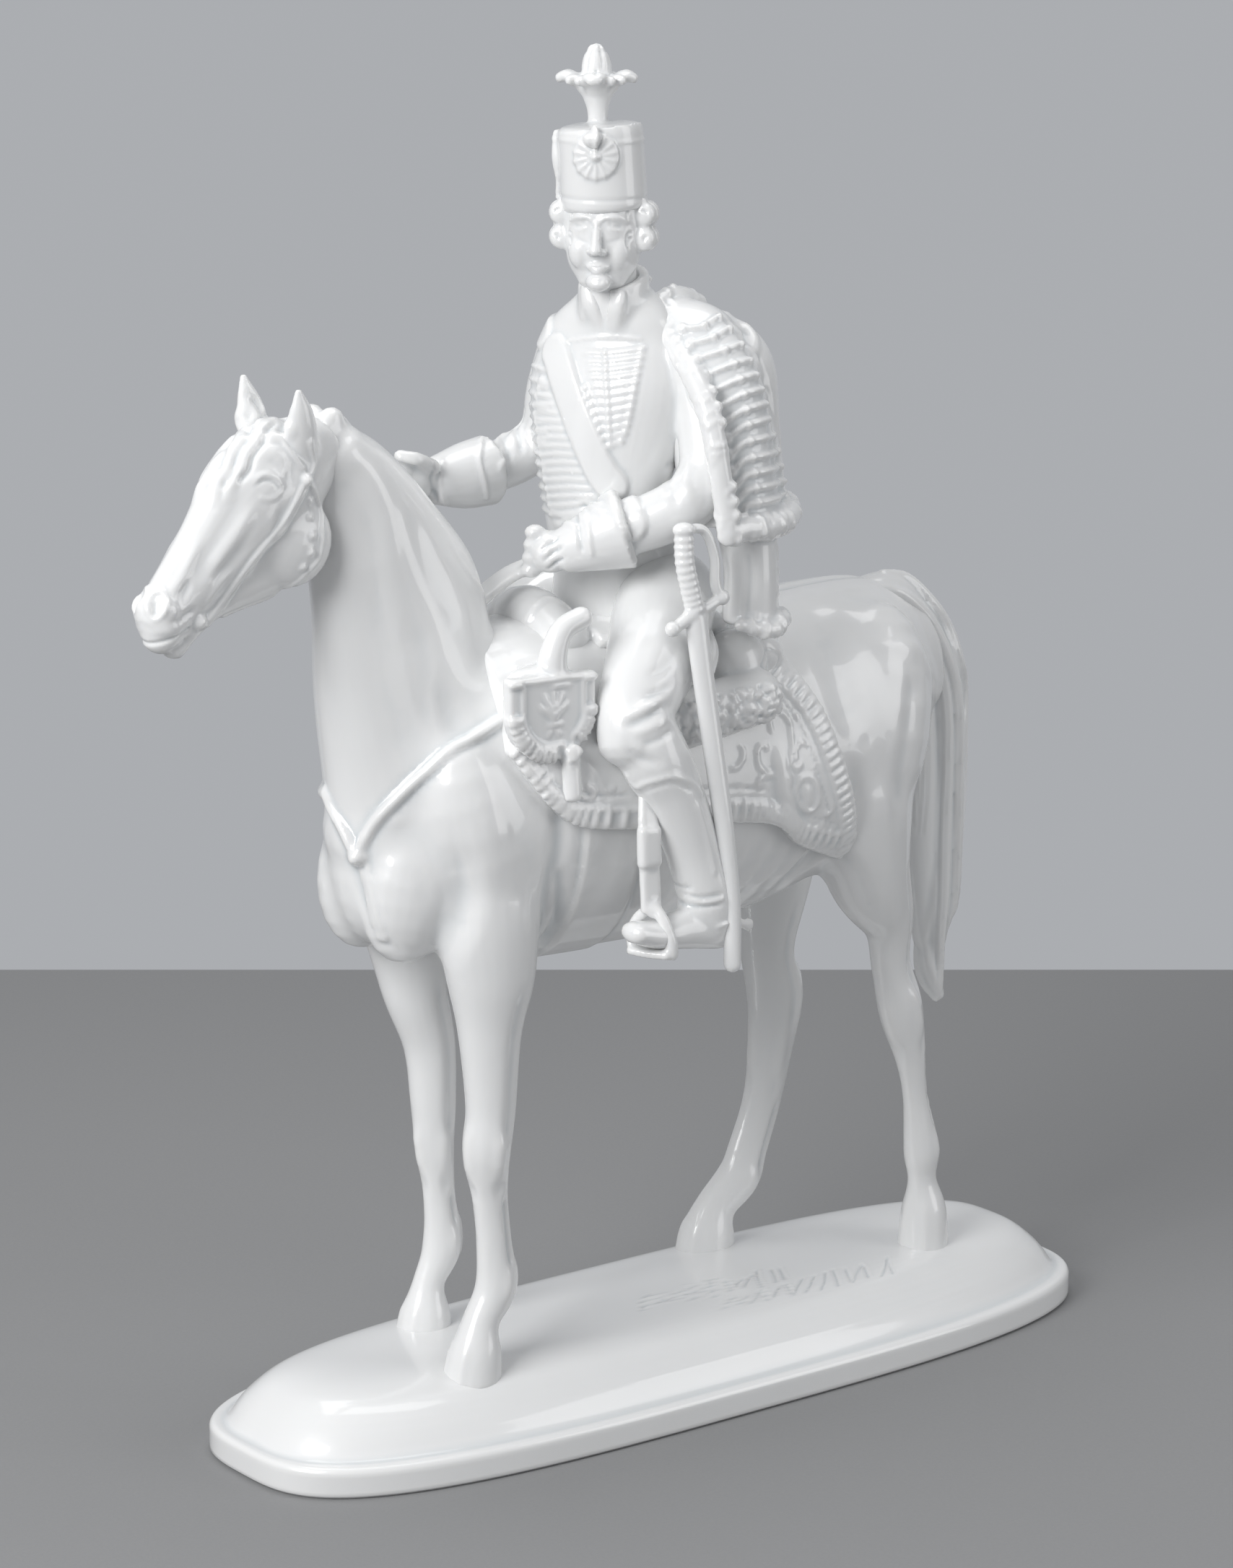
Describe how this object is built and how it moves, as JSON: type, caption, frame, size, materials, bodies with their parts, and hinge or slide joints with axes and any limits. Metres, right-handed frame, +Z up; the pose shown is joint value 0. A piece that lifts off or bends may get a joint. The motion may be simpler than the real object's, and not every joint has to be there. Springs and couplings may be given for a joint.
{
  "type": "equestrian statuette",
  "caption": "White glazed porcelain statuette of a hussar on a standing horse, on a long domed plinth with rounded ends.",
  "frame": {"origin": "middle of the plinth's flat underside", "axes": "+Z up. The horse faces -X, its near (left) side is -Y. The plinth's length runs along X."},
  "size_m": [0.3061, 0.102, 0.3662],
  "materials": {
    "porcelain": "glossy"
  },
  "bodies": {
    "root": {"hussar_statuette": "porcelain"}
  },
  "joints": []
}
